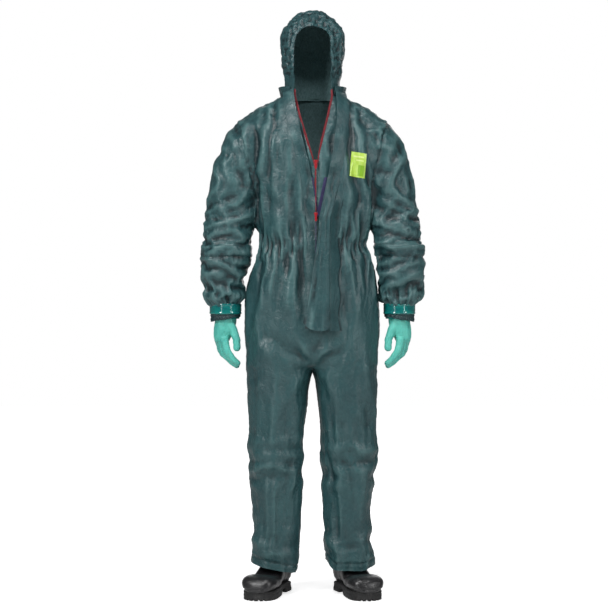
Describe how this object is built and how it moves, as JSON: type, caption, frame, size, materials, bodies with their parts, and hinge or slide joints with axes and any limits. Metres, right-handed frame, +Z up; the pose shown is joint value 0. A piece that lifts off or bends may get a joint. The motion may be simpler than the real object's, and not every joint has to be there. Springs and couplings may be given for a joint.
{
  "type": "chemical protective suit",
  "caption": "Hooded zip-front coverall in coated cloth with ring-locked gloves and safety shoes, standing hollow in the shape of a wearer.",
  "frame": {"origin": "on the floor, under the middle of the whole suit's box", "axes": "+Z up, -Y the way the wearer faces, +X the wearer's left"},
  "size_m": [0.7076, 0.3234, 1.85],
  "materials": {
    "coated_cloth": "coated nonwoven with a soft satin shine, crinkled",
    "zip_red": "woven tape",
    "zip_navy": "woven tape",
    "slider_red": "moulded, glossy",
    "elastic": "matt knitted elastic",
    "ring_teal": "polished moulding",
    "glove_green": "satin nitrile",
    "label_lime": "printed film, satin",
    "shoe_leather": "smooth, lightly creased",
    "shoe_rubber": "matt",
    "toe_steel": "plain pressed"
  },
  "bodies": {
    "torso": {"front_panel_left": "coated_cloth", "front_panel_right": "coated_cloth", "back_panel": "coated_cloth", "seat_panel": "coated_cloth", "inner_zip_tape_left": "zip_red", "inner_zip_tape_right": "zip_red", "inner_zip_chain": "zip_red", "inner_zip_end_stop": "slider_red", "outer_zip_tape_left": "zip_navy", "outer_zip_tape_right": "zip_navy", "outer_zip_chain": "zip_navy", "lapel_left": "coated_cloth", "lapel_right": "coated_cloth", "flap_base": "coated_cloth", "chest_label": "label_lime", "waist_elastic": "elastic", "collar_left": "coated_cloth", "collar_right": "coated_cloth"},
    "hood": {"hood_centre_panel": "coated_cloth", "hood_side_panel_left": "coated_cloth", "hood_side_panel_right": "coated_cloth", "hood_face_elastic": "elastic"},
    "inner_slider": {"inner_zip_slider": "slider_red"},
    "inner_pull": {"inner_zip_pull": "slider_red"},
    "outer_slider": {"outer_zip_slider": "slider_red"},
    "outer_pull": {"outer_zip_pull": "slider_red"},
    "flap": {"storm_flap": "coated_cloth", "flap_closure_strip": "elastic"},
    "upper_arm_left": {"upper_sleeve_left": "coated_cloth"},
    "forearm_left": {"lower_sleeve_left": "coated_cloth", "cuff_elastic_left": "elastic", "glove_ring_outer_left": "ring_teal", "inner_cuff_left": "coated_cloth"},
    "hand_left": {"glove_ring_inner_left": "ring_teal", "glove_left": "glove_green"},
    "thigh_left": {"upper_leg_left": "coated_cloth"},
    "shank_left": {"lower_leg_left": "coated_cloth", "hem_tape_left": "elastic"},
    "foot_left": {"shoe_upper_left": "shoe_leather", "shoe_sole_left": "shoe_rubber", "insole_left": "elastic", "toe_cap_left": "toe_steel"},
    "upper_arm_right": {"upper_sleeve_right": "coated_cloth"},
    "forearm_right": {"lower_sleeve_right": "coated_cloth", "cuff_elastic_right": "elastic", "glove_ring_outer_right": "ring_teal", "inner_cuff_right": "coated_cloth"},
    "hand_right": {"glove_ring_inner_right": "ring_teal", "glove_right": "glove_green"},
    "thigh_right": {"upper_leg_right": "coated_cloth"},
    "shank_right": {"lower_leg_right": "coated_cloth", "hem_tape_right": "elastic"},
    "foot_right": {"shoe_upper_right": "shoe_leather", "shoe_sole_right": "shoe_rubber", "insole_right": "elastic", "toe_cap_right": "toe_steel"}
  },
  "joints": [
    {"name": "hood_tilt", "type": "hinge", "parent": "torso", "child": "hood", "pos_m": [0, 0.10868, 1.565], "axis": [-1, 0, 0], "range_deg": [0, 80]},
    {"name": "inner_zip_run", "type": "slide", "parent": "torso", "child": "inner_slider", "axis": [0, 0, 1], "range_m": [-0.48, 0]},
    {"name": "inner_zip_pull_lift", "type": "hinge", "parent": "inner_slider", "child": "inner_pull", "pos_m": [0.01, -0.09942, 1.3714], "axis": [-1, 0, 0], "range_deg": [0, 150]},
    {"name": "outer_zip_run", "type": "slide", "parent": "torso", "child": "outer_slider", "axis": [0, 0, 1], "range_m": [-0.33, 0]},
    {"name": "outer_zip_pull_lift", "type": "hinge", "parent": "outer_slider", "child": "outer_pull", "pos_m": [0.01, -0.11152, 1.2064], "axis": [-1, 0, 0], "range_deg": [0, 150]},
    {"name": "storm_flap_open", "type": "hinge", "parent": "torso", "child": "flap", "pos_m": [0.053, -0.11452, 1.01], "axis": [0, 0, 1], "range_deg": [0, 110]},
    {"name": "shoulder_lift_left", "type": "hinge", "parent": "torso", "child": "upper_arm_left", "pos_m": [0.222, 0.03368, 1.398], "axis": [0, -1, 0], "range_deg": [0, 45]},
    {"name": "elbow_bend_left", "type": "hinge", "parent": "upper_arm_left", "child": "forearm_left", "pos_m": [0.272, 0.03368, 1.085], "axis": [-1, 0, 0], "range_deg": [0, 70]},
    {"name": "glove_turn_left", "type": "hinge", "parent": "forearm_left", "child": "hand_left", "pos_m": [0.277, 0.03368, 0.894], "axis": [0, 0, 1], "range_deg": [-10, 70]},
    {"name": "hip_bend_left", "type": "hinge", "parent": "torso", "child": "thigh_left", "pos_m": [0.107, 0.03368, 0.74], "axis": [-1, 0, 0], "range_deg": [0, 45]},
    {"name": "knee_bend_left", "type": "hinge", "parent": "thigh_left", "child": "shank_left", "pos_m": [0.116, 0.03368, 0.44], "axis": [1, 0, 0], "range_deg": [0, 60]},
    {"name": "ankle_tilt_left", "type": "hinge", "parent": "shank_left", "child": "foot_left", "pos_m": [0.11, 0.05368, 0.095], "axis": [-1, 0, 0], "range_deg": [-8, 6]},
    {"name": "shoulder_lift_right", "type": "hinge", "parent": "torso", "child": "upper_arm_right", "pos_m": [-0.222, 0.03368, 1.398], "axis": [0, 1, 0], "range_deg": [0, 45]},
    {"name": "elbow_bend_right", "type": "hinge", "parent": "upper_arm_right", "child": "forearm_right", "pos_m": [-0.272, 0.03368, 1.085], "axis": [-1, 0, 0], "range_deg": [0, 70]},
    {"name": "glove_turn_right", "type": "hinge", "parent": "forearm_right", "child": "hand_right", "pos_m": [-0.277, 0.03368, 0.894], "axis": [0, 0, -1], "range_deg": [-10, 70]},
    {"name": "hip_bend_right", "type": "hinge", "parent": "torso", "child": "thigh_right", "pos_m": [-0.107, 0.03368, 0.74], "axis": [-1, 0, 0], "range_deg": [0, 45]},
    {"name": "knee_bend_right", "type": "hinge", "parent": "thigh_right", "child": "shank_right", "pos_m": [-0.116, 0.03368, 0.44], "axis": [1, 0, 0], "range_deg": [0, 60]},
    {"name": "ankle_tilt_right", "type": "hinge", "parent": "shank_right", "child": "foot_right", "pos_m": [-0.11, 0.05368, 0.095], "axis": [-1, 0, 0], "range_deg": [-8, 6]}
  ]
}
